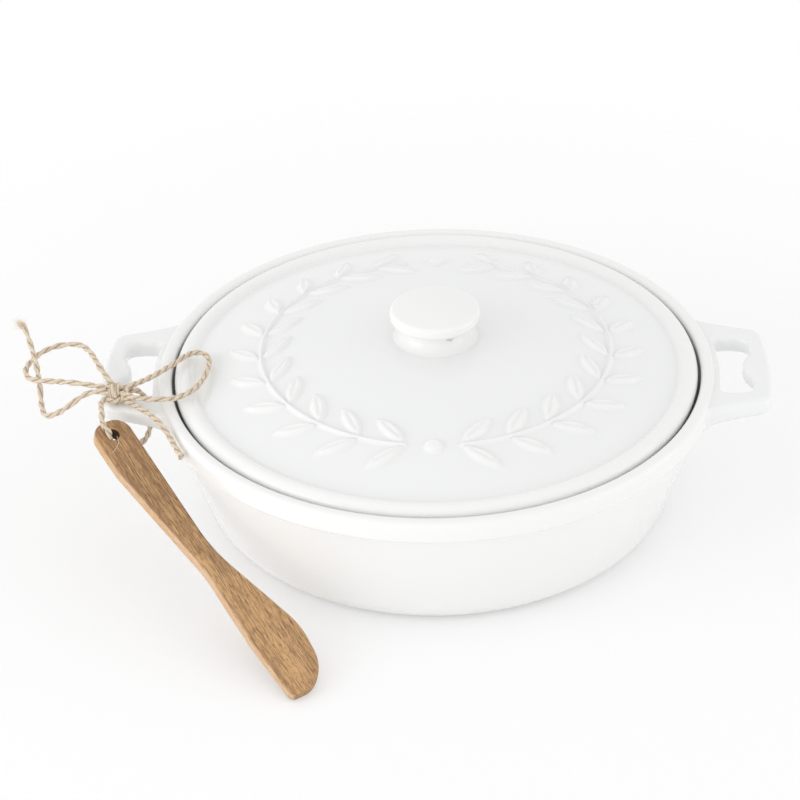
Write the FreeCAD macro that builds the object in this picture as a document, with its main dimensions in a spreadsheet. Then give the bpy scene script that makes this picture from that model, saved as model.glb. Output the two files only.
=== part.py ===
"""A lidded camembert baker with a wooden spreader tied to one of its handles.

Millimetres, +Z up. The origin is on the dish's axis at the plane it stands on. The two lug
handles lie along X. The spreader hangs from the front bar of the left handle.
"""

import FreeCAD, Part
import math
import os
import Sketcher
from FreeCAD import Placement, Rotation, Vector

doc = FreeCAD.newDocument("CamembertBaker")
sheet = doc.addObject("Spreadsheet::Sheet", "Sizes")

# Driving sizes, in millimetres and degrees.
SIZES = {
    # Dish: radii and heights of its section.
    "dish_height": 50.7,
    "rim_radius": 95.0,
    "rim_width": 4.9,
    "collar_height": 8.1,
    "collar_step": 2.8,
    "wall_lean": 13.4,
    "base_rounding": 8.3,
    "ledge_depth": 6.2,
    "ledge_width": 6.1,
    "floor_thickness": 6.0,
    "floor_inset": 3.8,
    "floor_rounding": 10.0,
    "rim_outer_rounding": 2.2,
    "rim_inner_rounding": 1.0,
    "collar_rounding": 1.6,
    "collar_crease": 1.2,
    "ledge_rounding": 1.2,
    "ledge_crease": 0.8,
    # Lug handles: plan and section.
    "lug_drop": 0.9,
    "lug_thickness": 6.8,
    "lug_bite": 2.5,
    "lug_root_inset": 7.9,
    "lug_root_y": 31.2,
    "lug_reach": 17.4,
    "lug_corner_y": 23.0,
    "lug_bow_radius": 165.0,
    "lug_web": 1.8,
    "grip_inner_reach": 0.3,
    "grip_outer_reach": 12.5,
    "grip_half": 17.0,
    "grip_bump_half": 7.8,
    "grip_bump_radius": 12.4,
    "lug_corner_rounding": 5.0,
    "grip_corner_rounding": 4.4,
    "grip_inner_rounding": 3.0,
    "grip_bump_rounding": 3.6,
    "lug_edge_rounding": 2.6,
    "grip_edge_rounding": 2.3,
    # Lid: the gap to the rim, the bead, the dome and the flange.
    "lid_gap": 1.3,
    "lid_thickness": 5.0,
    "lid_flange_width": 6.4,
    "lid_draft": 0.4,
    "bead_base": -0.7,
    "bead_width": 6.2,
    "bead_radius": 3.45,
    "dome_rise": 11.3,
    "flange_step_in": 1.5,
    "flange_step_up": 0.8,
    "groove_rounding": 1.5,
    "flange_rounding": 0.9,
    # Knob: heights above the dish's rim.
    "knob_height": 23.1,
    "knob_radius": 15.25,
    "knob_edge_top": 21.6,
    "knob_edge_bottom": 17.7,
    "knob_neck_top": 16.8,
    "knob_neck_radius": 11.2,
    "knob_sink": 3.0,
    "knob_edge_rounding": 1.7,
    "knob_neck_rounding": 1.2,
    "knob_foot_rounding": 4.0,
    "hollow_radius": 6.5,
    "hollow_corner": 2.0,
    "hollow_top": 18.1,
    "vent_radius": 1.4,
    "vent_height": 15.3,
    "vent_turn": 21.0,
    # Ornament: a wreath of leaves around the lid's field.
    "wreath_inset": 23.1,
    "stem_half": 0.9,
    "leaf_sink": 0.4,
    "leaf_reach": 10.6,
    "leaf_forward": 11.2,
    "leaf_bow_radius": 12.6,
    "leaf_pairs": 11,
    "leaf_sweep": 150.0,
    "branch_start": 9.0,
    "stem_sweep": 160.0,
    "berry_radius": 3.1,
    "relief": 1.4,
    "relief_depth": 1.5,
    "prism_over": 12.0,
    # Spreader: its outline, seen from above, with stations measured back from its tip.
    "spreader_length": 119.7,
    "handle_right": 4.9,
    "handle_left": 8.2,
    "taper_start": 19.4,
    "waist_back": 59.7,
    "neck_back": 52.3,
    "neck_left": 1.4,
    "spine_back": 23.3,
    "spine_left": 2.1,
    "belly_back": 21.9,
    "belly_right": 16.0,
    "shoulder_back": 7.5,
    "shoulder_right": 14.3,
    "tip_right": 8.0,
    "tip_left": 0.8,
    "handle_rounding": 5.7,
    "taper_rounding": 40.0,
    "waist_rounding": 60.0,
    "spine_rounding": 60.0,
    "belly_rounding": 30.0,
    "shoulder_rounding": 15.0,
    "tip_rounding": 9.0,
    "tip_left_rounding": 2.3,
    "spreader_thickness": 5.0,
    "blade_thinning": 1.0,
    "thinning_back": 45.0,
    "thinning_over": 2.0,
    "spreader_edge_rounding": 1.2,
    "hang_hole_x": 6.2,
    "hang_hole_left": 2.4,
    "hang_hole_radius": 2.3,
    # The way it hangs: its top end beside the rim and below it, and its heading.
    "hang_out": 13.3,
    "hang_front": 30.2,
    "hang_drop": 1.6,
    "spreader_heading": -54.3,
    # String and its knot.
    "string_diameter": 2.2,
    "knot_out": 12.6,
    "knot_front": 19.8,
    "knot_half_x": 3.4,
    "knot_half_y": 3.9,
    "knot_half_z": 3.1,
}

for row, (alias, value) in enumerate(SIZES.items(), 1):
    sheet.set(f"A{row}", alias)
    sheet.set(f"B{row}", str(value))
    sheet.setAlias(f"B{row}", alias)
doc.recompute()

# How closely an edge must lie to the place where it is looked for.
NEAR = 0.02

# Sums of sizes, as numbers and as expressions on the sheet.


def amount(words):
    """The value of a sum of sizes, such as "rim_radius - rim_width"."""
    total, sign = 0.0, 1.0
    for word in words.split():
        if word in ("+", "-"):
            sign = -1.0 if word == "-" else 1.0
        else:
            total += sign * (float(word) if word[0].isdigit() else float(sheet.get(word)))
    return total


def formula(words):
    """The same sum as an expression."""
    return " ".join(
        word if word in ("+", "-") or word[0].isdigit() else f"Sizes.{word}"
        for word in words.split()
    )


def bind(item, prop, words):
    """Ties a property to a sum of sizes."""
    item.setExpression(prop, formula(words))


# Sketches: closed outlines whose corners are sums of sizes.


def origin_item(body, role):
    """The plane or axis of a body's own origin that has this role."""
    return next(item for item in body.Origin.OriginFeatures if item.Role == role)


def new_body(name):
    """A body that may hold several solids."""
    body = doc.addObject("PartDesign::Body", name)
    body.AllowCompound = True
    return body


def arc_centre(start, end, bend):
    """The centre of the arc between two corners.

    A bend is ("axis",) for a centre on the upright axis, or ("left" or "right", radius).
    """
    if bend[0] == "axis":
        high = (start[0] ** 2 + start[1] ** 2 - end[0] ** 2 - end[1] ** 2) / (2 * (start[1] - end[1]))
        return 0.0, high
    radius = amount(bend[1])
    along = (end[0] - start[0], end[1] - start[1])
    chord = math.hypot(*along)
    off = math.sqrt(radius**2 - (chord / 2) ** 2) * (1 if bend[0] == "left" else -1)
    middle = ((start[0] + end[0]) / 2, (start[1] + end[1]) / 2)
    return middle[0] - along[1] / chord * off, middle[1] + along[0] / chord * off


def hold(sketch, edge, spot, coordinate, words):
    """Holds one coordinate of a corner at a sum of sizes."""
    value = amount(words)
    if abs(value) < 1e-9:
        axis = -2 if coordinate == "X" else -1
        sketch.addConstraint(Sketcher.Constraint("PointOnObject", edge, spot, axis))
        return
    ends = (-1, 1, edge, spot) if value > 0 else (edge, spot, -1, 1)
    number = sketch.addConstraint(Sketcher.Constraint(f"Distance{coordinate}", *ends, abs(value)))
    words = formula(words)
    sketch.setExpression(f"Constraints[{number}]", words if value > 0 else f"-({words})")


def outline(body, name, role, loops, lift=None):
    """A sketch of closed loops. Each corner is (x, y) or (x, y, bend of the edge after it)."""
    sketch = body.newObject("Sketcher::SketchObject", name)
    sketch.AttachmentSupport = [(origin_item(body, role), "")]
    sketch.MapMode = "FlatFace"
    if lift:
        bind(sketch, "AttachmentOffset.Base.z", lift)
    for loop in loops:
        spots = [(amount(corner[0]), amount(corner[1])) for corner in loop]
        ends = []
        for i, corner in enumerate(loop):
            start, end = spots[i], spots[(i + 1) % len(loop)]
            if len(corner) == 2:
                line = Part.LineSegment(Vector(*start, 0), Vector(*end, 0))
                ends.append((sketch.addGeometry(line), 1, 2))
                continue
            middle = arc_centre(start, end, corner[2])
            first = math.atan2(start[1] - middle[1], start[0] - middle[0])
            last = math.atan2(end[1] - middle[1], end[0] - middle[0])
            ahead = (last - first) % (2 * math.pi) < math.pi
            circle = Part.Circle(Vector(*middle, 0), Vector(0, 0, 1), math.dist(start, middle))
            turn = (first, last) if ahead else (last, first)
            arc = sketch.addGeometry(Part.ArcOfCircle(circle, *turn))
            ends.append((arc, 1, 2) if ahead else (arc, 2, 1))
            if corner[2][0] == "axis":
                sketch.addConstraint(Sketcher.Constraint("PointOnObject", arc, 3, -2))
            else:
                radius = Sketcher.Constraint("Radius", arc, amount(corner[2][1]))
                sketch.setExpression(f"Constraints[{sketch.addConstraint(radius)}]", formula(corner[2][1]))
        for i, corner in enumerate(loop):
            after = ends[(i + 1) % len(loop)]
            sketch.addConstraint(Sketcher.Constraint("Coincident", ends[i][0], ends[i][2], after[0], after[1]))
            hold(sketch, ends[i][0], ends[i][1], "X", corner[0])
            hold(sketch, ends[i][0], ends[i][1], "Y", corner[1])
    return sketch


def revolve(body, name, sketch, cut=False):
    """A full turn of a section about the upright axis."""
    turned = body.newObject("PartDesign::Groove" if cut else "PartDesign::Revolution", name)
    turned.Profile = sketch
    turned.ReferenceAxis = (sketch, ["V_Axis"])
    turned.Angle = 360
    doc.recompute()
    return turned


def pad(body, name, sketch, words, down=False):
    """A slab of the sketch's outline."""
    slab = body.newObject("PartDesign::Pad", name)
    slab.Profile = sketch
    bind(slab, "Length", words)
    slab.Reversed = down
    doc.recompute()
    return slab


def soften(body, base, names, alias):
    """Rounds the named edges of the body's last feature."""
    if not names:
        raise RuntimeError(f"no edge to round for {alias}")
    rounding = body.newObject("PartDesign::Fillet", f"{body.Name}_{alias}")
    rounding.Base = (base, names)
    bind(rounding, "Radius", alias)
    doc.recompute()
    return rounding


def ring_edges(shape, radius, low, high=None):
    """The full circles about the upright axis with this radius, at a height or between two."""
    high = low if high is None else high
    found = []
    for number, edge in enumerate(shape.Edges, 1):
        box = edge.BoundBox
        round_it = max(abs(box.XLength - 2 * radius), abs(box.YLength - 2 * radius)) < 2 * NEAR
        if round_it and box.ZLength < NEAR and low - NEAR < box.ZMin < high + NEAR:
            found.append(f"Edge{number}")
    return found


def upright_edges(shape, spots):
    """The straight upright edges that stand at these places of the plan."""
    found = []
    for number, edge in enumerate(shape.Edges, 1):
        ends = [vertex.Point for vertex in edge.Vertexes]
        if len(ends) == 2 and math.hypot(ends[0].x - ends[1].x, ends[0].y - ends[1].y) < NEAR:
            if any(math.hypot(ends[0].x - x, ends[0].y - y) < 3 * NEAR for x, y in spots):
                found.append(f"Edge{number}")
    return found


# Dish: the turned bowl, with a gallery for the lid inside its collar.
bowl = new_body("bowl")
collar_bottom = "dish_height - collar_height"
foot_edge = "rim_radius - collar_step - wall_lean"
floor_edge = foot_edge + " - floor_inset"
ledge = "dish_height - ledge_depth"
inner_rim = "rim_radius - rim_width"
inner_wall = inner_rim + " - ledge_width"
bowl_section = outline(
    bowl,
    "bowl_section",
    "XZ_Plane",
    [
        [
            ("0", "0"),
            (foot_edge, "0"),
            ("rim_radius - collar_step", collar_bottom),
            ("rim_radius", collar_bottom),
            ("rim_radius", "dish_height"),
            (inner_rim, "dish_height"),
            (inner_rim, ledge),
            (inner_wall, ledge),
            (floor_edge, "floor_thickness"),
            ("0", "floor_thickness"),
        ]
    ],
)
bowl_form = revolve(bowl, "bowl_turned", bowl_section)
for radius, height, alias in [
    (foot_edge, "0", "base_rounding"),
    (floor_edge, "floor_thickness", "floor_rounding"),
    ("rim_radius", "dish_height", "rim_outer_rounding"),
    (inner_rim, "dish_height", "rim_inner_rounding"),
    ("rim_radius", collar_bottom, "collar_rounding"),
    ("rim_radius - collar_step", collar_bottom, "collar_crease"),
    (inner_wall, ledge, "ledge_rounding"),
    (inner_rim, ledge, "ledge_crease"),
]:
    edges = ring_edges(bowl_form.Shape, amount(radius), amount(height))
    bowl_form = soften(bowl, bowl_form, edges, alias)

# Right lug handle: a flat bow out of the collar, pierced for a finger, with a bump on its bar.
lug = new_body("lug")
lug_bottom = "dish_height - lug_drop - lug_thickness"
lug_root = "rim_radius - lug_root_inset"
lug_corner = "rim_radius + lug_reach"
grip_inner = "rim_radius + grip_inner_reach"
grip_outer = "rim_radius + grip_outer_reach"
lug_plan = outline(
    lug,
    "lug_plan",
    "XY_Plane",
    [
        [
            (lug_root, "- lug_root_y"),
            (lug_corner, "- lug_corner_y", ("left", "lug_bow_radius")),
            (lug_corner, "lug_corner_y"),
            (lug_root, "lug_root_y", ("right", "rim_radius - lug_bite")),
        ],
        [
            (grip_inner, "- grip_half"),
            (grip_outer, "- grip_half"),
            (grip_outer, "- grip_bump_half", ("right", "grip_bump_radius")),
            (grip_outer, "grip_bump_half"),
            (grip_outer, "grip_half"),
            (grip_inner, "grip_half", ("right", "rim_radius + lug_web")),
        ],
    ],
    lug_bottom,
)
lug_form = pad(lug, "lug_slab", lug_plan, "lug_thickness")
corner = (amount(lug_corner), amount("lug_corner_y"))
grip = (amount(grip_outer), amount("grip_half"))
inner = (amount(grip_inner), amount("grip_half"))
bump = (amount(grip_outer), amount("grip_bump_half"))
for (x, y), alias in [
    (corner, "lug_corner_rounding"),
    (grip, "grip_corner_rounding"),
    (inner, "grip_inner_rounding"),
    (bump, "grip_bump_rounding"),
]:
    lug_form = soften(lug, lug_form, upright_edges(lug_form.Shape, [(x, y), (x, -y)]), alias)


def lug_rims(shape, inside):
    """The edges around the lug's outline, or around its grip hole, on both flat faces."""
    levels = (amount(lug_bottom), amount(lug_bottom + " + lug_thickness"))
    root = amount("rim_radius - lug_bite")
    found = []
    for number, edge in enumerate(shape.Edges, 1):
        box = edge.BoundBox
        if box.ZLength > NEAR or min(abs(box.ZMin - level) for level in levels) > NEAR:
            continue
        middle = edge.valueAt((edge.FirstParameter + edge.LastParameter) / 2)
        in_grip = middle.x < grip[0] + NEAR and abs(middle.y) < grip[1] + NEAR
        at_root = math.hypot(middle.x, middle.y) < root + 5 * NEAR
        if in_grip == inside and not at_root:
            found.append(f"Edge{number}")
    return found


lug_form = soften(lug, lug_form, lug_rims(lug_form.Shape, True), "grip_edge_rounding")
lug_form = soften(lug, lug_form, lug_rims(lug_form.Shape, False), "lug_edge_rounding")

left_lug = doc.addObject("Part::Mirroring", "left_lug")
left_lug.Source = lug
left_lug.Normal = Vector(1, 0, 0)
dish = doc.addObject("Part::MultiFuse", "dish")
dish.Shapes = [bowl, lug, left_lug]
dish.Refine = True
dish.Label = "dish"

# Lid: a shallow dome inside a raised bead, with a flange that rests on the gallery.
shell = new_body("lid_shell")
lid_edge = inner_rim + " - lid_gap"
bead_inside = lid_edge + " - bead_width"
apex = "dish_height + dome_rise"
under = "dish_height + bead_base - lid_thickness"
flange_inside = lid_edge + " - lid_flange_width - lid_draft"
shell_section = outline(
    shell,
    "lid_section",
    "XZ_Plane",
    [
        [
            ("0", apex + " - lid_thickness"),
            ("0", apex, ("axis",)),
            (bead_inside, "dish_height + bead_base", ("right", "bead_radius")),
            (lid_edge, "dish_height + bead_base"),
            (lid_edge + " - lid_draft", ledge),
            (flange_inside, ledge),
            (flange_inside + " - flange_step_in", under + " + flange_step_up", ("axis",)),
        ]
    ],
)
lid_form = revolve(shell, "lid_turned", shell_section)
edges = ring_edges(lid_form.Shape, amount(bead_inside), amount("dish_height + bead_base"))
lid_form = soften(shell, lid_form, edges, "groove_rounding")
edges = ring_edges(lid_form.Shape, amount(lid_edge + " - lid_draft"), amount(ledge))
edges += ring_edges(lid_form.Shape, amount(flange_inside), amount(ledge))
lid_form = soften(shell, lid_form, edges, "flange_rounding")

# Knob: a mushroom on a wide neck, in one with the lid.
knob_section = outline(
    shell,
    "knob_section",
    "XZ_Plane",
    [
        [
            ("0", apex + " - knob_sink"),
            ("knob_neck_radius", apex + " - knob_sink"),
            ("knob_neck_radius", "dish_height + knob_neck_top"),
            ("knob_radius", "dish_height + knob_edge_bottom"),
            ("knob_radius", "dish_height + knob_edge_top", ("axis",)),
            ("0", "dish_height + knob_height"),
        ]
    ],
)
lid_form = revolve(shell, "knob_turned", knob_section)
for radius, height, alias in [
    ("knob_radius", "dish_height + knob_edge_top", "knob_edge_rounding"),
    ("knob_radius", "dish_height + knob_edge_bottom", "knob_edge_rounding"),
    ("knob_neck_radius", "dish_height + knob_neck_top", "knob_neck_rounding"),
]:
    edges = ring_edges(lid_form.Shape, amount(radius), amount(height))
    lid_form = soften(shell, lid_form, edges, alias)
seam = ring_edges(lid_form.Shape, amount("knob_neck_radius"), amount(under), amount(apex))
lid_form = soften(shell, lid_form, seam, "knob_foot_rounding")

# The knob is hollow and open below, and a small vent lets the steam out of its neck.
hollow_section = outline(
    shell,
    "hollow_section",
    "XZ_Plane",
    [
        [
            ("0", under),
            ("hollow_radius", under),
            ("hollow_radius", "dish_height + hollow_top - hollow_corner"),
            ("hollow_radius - hollow_corner", "dish_height + hollow_top"),
            ("0", "dish_height + hollow_top"),
        ]
    ],
)
whole = lid_form.Shape.Volume
lid_form = revolve(shell, "knob_hollow", hollow_section, cut=True)
if lid_form.Shape.Volume > whole - 500:
    raise RuntimeError("the knob's hollow cut nothing")
vent = shell.newObject("PartDesign::SubtractiveCylinder", "vent")
vent.AttachmentSupport = [(origin_item(shell, "XY_Plane"), "")]
vent.MapMode = "FlatFace"
vent.AttachmentOffset = Placement(
    Vector(0, 0, amount("dish_height + vent_height")),
    Rotation(Vector(0, 0, 1), amount("vent_turn")).multiply(Rotation(Vector(1, 0, 0), 90)),
)
bind(vent, "AttachmentOffset.Base.z", "dish_height + vent_height")
bind(vent, "Radius", "vent_radius")
bind(vent, "Height", "knob_radius")
whole = lid_form.Shape.Volume
doc.recompute()
if vent.Shape.Volume > whole - 10:
    raise RuntimeError("the vent cut nothing")

# Ornament: one branch of paired leaves on a stem, its mirror image and a berry at each gap.
branch = new_body("branch")
wreath_line = bead_inside + " - wreath_inset"
leaf_root = wreath_line + " + stem_half - leaf_sink"
leaf_root_in = wreath_line + " - stem_half + leaf_sink"
prism_top = "dish_height + dome_rise + prism_over"
bow = ("right", "leaf_bow_radius")
leaf_plan = outline(
    branch,
    "leaf_plan",
    "XY_Plane",
    [
        [(leaf_root, "0", bow), (leaf_root + " + leaf_reach", "leaf_forward", bow)],
        [(leaf_root_in, "0", bow), (leaf_root_in + " - leaf_reach", "leaf_forward", bow)],
    ],
    under,
)
leaves = pad(branch, "leaf_pair", leaf_plan, "dome_rise + lid_thickness + prism_over")
spray = branch.newObject("PartDesign::PolarPattern", "leaf_row")
spray.Originals = [leaves]
spray.Axis = (origin_item(branch, "Z_Axis"), [""])
bind(spray, "Angle", "leaf_sweep")
bind(spray, "Occurrences", "leaf_pairs")
branch.Tip = spray
doc.recompute()
stem_plan = outline(
    branch,
    "stem_section",
    "XZ_Plane",
    [
        [
            (wreath_line + " - stem_half", under),
            (wreath_line + " + stem_half", under),
            (wreath_line + " + stem_half", prism_top),
            (wreath_line + " - stem_half", prism_top),
        ]
    ],
)
stem = branch.newObject("PartDesign::Revolution", "stem")
stem.Profile = stem_plan
stem.ReferenceAxis = (stem_plan, ["V_Axis"])
bind(stem, "Angle", "stem_sweep")
doc.recompute()
if stem.Shape.BoundBox.YMin < -15:
    stem.Reversed = True
    doc.recompute()
branch.Placement = Placement(Vector(), Rotation(Vector(0, 0, 1), amount("branch_start") - 90))

other_branch = doc.addObject("Part::Mirroring", "other_branch")
other_branch.Source = branch
other_branch.Normal = Vector(1, 0, 0)
berries = []
for name, side in (("front_berry", "-"), ("back_berry", "")):
    berry = doc.addObject("Part::Cylinder", name)
    bind(berry, "Radius", "berry_radius")
    bind(berry, "Height", "dome_rise + lid_thickness + prism_over")
    berry.setExpression("Placement.Base.y", f"{side}({formula(wreath_line)})")
    bind(berry, "Placement.Base.z", under)
    berries.append(berry)
raised = doc.addObject("Part::MultiFuse", "wreath_prisms")
raised.Shapes = [branch, other_branch, *berries]

# The wreath's top follows the dome, so the prisms are trimmed by a skin around its surface.
skin = new_body("relief_skin")
skin_section = outline(
    skin,
    "skin_section",
    "XZ_Plane",
    [
        [
            ("0", apex + " - relief_depth"),
            ("0", apex + " + relief", ("axis",)),
            (bead_inside, "dish_height + bead_base + relief"),
            (bead_inside, "dish_height + bead_base - relief_depth", ("axis",)),
        ]
    ],
)
revolve(skin, "skin_turned", skin_section)
wreath = doc.addObject("Part::Common", "wreath")
wreath.Base = raised
wreath.Tool = skin
doc.recompute()

lid = doc.addObject("Part::MultiFuse", "lid")
lid.Shapes = [shell, wreath]
lid.Refine = True
lid.Label = "lid"

# Spreader: a flat blade with a waist, thinned from below towards its tip.
spreader = new_body("spreader")
outline_corners = [
    ("0", "- handle_left", "handle_rounding"),
    ("taper_start", "- handle_left", "taper_rounding"),
    ("spreader_length - neck_back", "- neck_left", "spine_rounding"),
    ("spreader_length - spine_back", "- spine_left", "spine_rounding"),
    ("spreader_length", "- tip_left", "tip_left_rounding"),
    ("spreader_length", "tip_right", "tip_rounding"),
    ("spreader_length - shoulder_back", "shoulder_right", "shoulder_rounding"),
    ("spreader_length - belly_back", "belly_right", "belly_rounding"),
    ("spreader_length - waist_back", "handle_right", "waist_rounding"),
    ("0", "handle_right", "handle_rounding"),
]
corners = [corner[:2] for corner in outline_corners]
spreader_plan = outline(spreader, "spreader_plan", "XY_Plane", [corners])
blade = pad(spreader, "spreader_blank", spreader_plan, "spreader_thickness", down=True)
for alias in dict.fromkeys(corner[2] for corner in outline_corners):
    places = [(amount(x), amount(y)) for x, y, rounding in outline_corners if rounding == alias]
    blade = soften(spreader, blade, upright_edges(blade.Shape, places), alias)
thinning_section = outline(
    spreader,
    "thinning_section",
    "XZ_Plane",
    [
        [
            ("spreader_length - thinning_back", "- spreader_thickness"),
            ("spreader_length", "blade_thinning - spreader_thickness"),
            ("spreader_length + thinning_over", "blade_thinning - spreader_thickness"),
            ("spreader_length + thinning_over", "- spreader_thickness - thinning_over"),
            ("spreader_length - thinning_back", "- spreader_thickness - thinning_over"),
        ]
    ],
)
whole = blade.Shape.Volume
thinning = spreader.newObject("PartDesign::Pocket", "thinning")
thinning.Profile = thinning_section
thinning.Type = "ThroughAll"
thinning.Midplane = True
doc.recompute()
blade = thinning
if blade.Shape.Volume > whole - 100:
    raise RuntimeError("the blade's thinning cut nothing")
rims = []
for number, edge in enumerate(blade.Shape.Edges, 1):
    flat = [abs(face.normalAt(0, 0).z) > 0.9 for face in blade.Shape.ancestorsOfType(edge, Part.Face)]
    if flat.count(True) == 1:
        rims.append(f"Edge{number}")
blade = soften(spreader, blade, rims, "spreader_edge_rounding")
hole_plan = spreader.newObject("Sketcher::SketchObject", "hang_hole_plan")
hole_plan.AttachmentSupport = [(origin_item(spreader, "XY_Plane"), "")]
hole_plan.MapMode = "FlatFace"
hole_at = Vector(amount("hang_hole_x"), amount("- hang_hole_left"), 0)
hole_plan.addGeometry(Part.Circle(hole_at, Vector(0, 0, 1), amount("hang_hole_radius")))
hold(hole_plan, 0, 3, "X", "hang_hole_x")
hold(hole_plan, 0, 3, "Y", "- hang_hole_left")
hole_plan.addConstraint(Sketcher.Constraint("Radius", 0, amount("hang_hole_radius")))
hole_plan.setExpression("Constraints[2]", "Sizes.hang_hole_radius")
whole = blade.Shape.Volume
hole = spreader.newObject("PartDesign::Pocket", "hang_hole")
hole.Profile = hole_plan
hole.Type = "ThroughAll"
hole.Midplane = True
doc.recompute()
if hole.Shape.Volume > whole - 20:
    raise RuntimeError("the hanging hole cut nothing")

# The spreader slopes down from its string until its tip touches what the dish stands on.
tip_depth = "(" + formula("spreader_thickness - blade_thinning") + ")"
slope = f"asin(({formula('dish_height - hang_drop')} - {tip_depth}) / Sizes.spreader_length)"
edge = "Sizes.spreader_edge_rounding"
top_end = f"(Sizes.spreader_length - {edge}) * sin({slope}) + ({tip_depth} - {edge}) * cos({slope}) + {edge}"
hung = f"-({formula('rim_radius + hang_out')}); -{formula('hang_front')}; {top_end}"
spreader.setExpression("Placement", f"placement(vector({hung}); rotation(Sizes.spreader_heading; {slope}; 0))")
doc.recompute()
tip_height = min(point.z for point in spreader.Shape.tessellate(0.05)[0])
if abs(tip_height) > 5 * NEAR:
    raise RuntimeError(f"the spreader's tip stands at {tip_height:.2f}")
spreader.Label = "spreader"

# Knot: the wrapped middle of the bow, on top of the left handle's front bar.
knot = doc.addObject("Part::Ellipsoid", "string_knot")
bind(knot, "Radius1", "knot_half_z")
bind(knot, "Radius2", "knot_half_x")
bind(knot, "Radius3", "knot_half_y")
knot.setExpression("Placement.Base.x", f"-({formula('rim_radius + knot_out')})")
knot.setExpression("Placement.Base.y", f"-{formula('knot_front')}")
bind(knot, "Placement.Base.z", "dish_height - lug_drop + knot_half_z")
knot.Label = "string_knot"
doc.recompute()

# String: each stretch of it is a tube through these points, from the knot outwards. They were
# chosen beside this place of the rim, and the tubes stay beside it when the dish changes.
ROUTES_FROM = Vector(-95.0, 0.0, 50.7)
ROUTES = {
    "string_tie": [
        (-109.4, -22.1, 51.3),
        (-112.8, -22.9, 51.2),
        (-112.8, -27.0, 51.4),
        (-111.6, -30.8, 51.2),
        (-109.9, -34.2, 49.6),
        (-106.6, -37.1, 47.7),
        (-107.4, -35.7, 43.5),
        (-108.3, -34.4, 39.2),
        (-103.6, -33.2, 38.0),
        (-99.0, -31.0, 38.8),
        (-97.4, -26.6, 39.8),
        (-96.9, -21.4, 40.8),
        (-97.4, -16.0, 42.2),
        (-98.4, -14.4, 46.0),
        (-98.9, -14.6, 49.8),
        (-101.4, -16.6, 51.8),
        (-105.2, -18.4, 51.4),
    ],
    "string_loop_left": [
        (-109.0, -16.6, 53.4),
        (-111.6, -11.6, 53.8),
        (-115.2, -4.0, 53.6),
        (-118.6, 4.6, 53.0),
        (-123.0, 11.4, 52.2),
        (-129.4, 13.0, 51.2),
        (-135.6, 11.6, 50.0),
        (-139.8, 6.2, 49.2),
        (-141.4, -0.8, 48.9),
        (-138.6, -7.4, 49.6),
        (-131.4, -9.4, 50.3),
        (-124.0, -12.2, 51.6),
        (-116.4, -15.6, 52.6),
        (-110.3, -18.1, 52.9),
    ],
    "string_loop_right": [
        (-104.4, -19.2, 53.7),
        (-100.2, -17.2, 54.0),
        (-94.6, -12.2, 54.2),
        (-88.4, -4.6, 54.3),
        (-84.4, 1.6, 54.2),
        (-80.2, 2.7, 54.0),
        (-77.3, -1.0, 54.0),
        (-76.9, -7.0, 54.2),
        (-77.9, -14.2, 54.2),
        (-80.5, -22.0, 54.3),
        (-86.2, -26.8, 54.0),
        (-93.6, -26.4, 53.5),
        (-100.4, -25.0, 53.2),
        (-105.0, -21.6, 53.0),
    ],
    "string_tail_left": [
        (-110.4, -20.9, 53.2),
        (-114.4, -20.0, 53.0),
        (-118.4, -20.0, 51.4),
        (-122.6, -21.9, 48.8),
        (-127.0, -22.8, 45.9),
        (-131.6, -21.9, 43.9),
        (-133.6, -17.0, 44.4),
        (-134.6, -10.6, 46.1),
        (-135.8, -4.6, 48.3),
        (-137.3, 1.0, 51.4),
        (-139.6, 7.2, 54.4),
        (-141.8, 12.6, 57.0),
        (-143.9, 16.9, 59.3),
    ],
    "string_tail_right": [
        (-106.8, -23.1, 51.8),
        (-103.4, -27.0, 52.1),
        (-99.6, -30.4, 52.3),
        (-95.8, -33.6, 52.0),
        (-92.2, -37.2, 51.2),
        (-88.9, -40.9, 50.1),
        (-86.0, -45.3, 48.9),
        (-84.2, -48.7, 47.9),
        (-82.6, -51.3, 47.3),
    ],
}


def tube(points, radius):
    """A round tube along straight runs joined by arcs that are tangent to both runs."""
    edges, bends, start = [], [], points[0]
    for before, at, after in zip(points, points[1:], points[2:]):
        back, ahead = before - at, after - at
        turn = math.pi - back.getAngle(ahead)
        reach = 0.45 * min(back.Length, ahead.Length)
        bends.append(reach / math.tan(turn / 2))
        back.normalize()
        ahead.normalize()
        inward = (back + ahead).normalize()
        off = bends[-1] / math.cos(turn / 2) - bends[-1]
        enter, leave = at + back * reach, at + ahead * reach
        edges.append(Part.LineSegment(start, enter).toShape())
        edges.append(Part.Arc(enter, at + inward * off, leave).toShape())
        start = leave
    edges.append(Part.LineSegment(start, points[-1]).toShape())
    path = Part.Wire(edges)
    section = Part.Wire([Part.makeCircle(radius, points[0], points[1] - points[0])])
    solid = path.makePipeShell([section], True, False)
    return solid, path.Length, bends


stretches = []
for name, spots in ROUTES.items():
    radius = amount("string_diameter") / 2
    solid, length, bends = tube([Vector(*spot) - ROUTES_FROM for spot in spots], radius)
    share = solid.Volume / (math.pi * radius**2 * length)
    if abs(share - 1) > 0.01:
        raise RuntimeError(f"{name} holds {share:.3f} of its section times its length")
    print(name, "length", round(length, 1), "radii", [round(bend, 1) for bend in bends])
    whole_stretch = doc.addObject("Part::Feature", f"{name}_tube")
    whole_stretch.Shape = solid
    whole_stretch.setExpression("Placement.Base.x", f"-{formula('rim_radius')}")
    bind(whole_stretch, "Placement.Base.z", "dish_height")
    stretch = doc.addObject("Part::Cut", name)
    stretch.Base = whole_stretch
    stretch.Tool = knot
    stretch.Label = name
    stretches.append(stretch)
doc.recompute()

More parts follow.
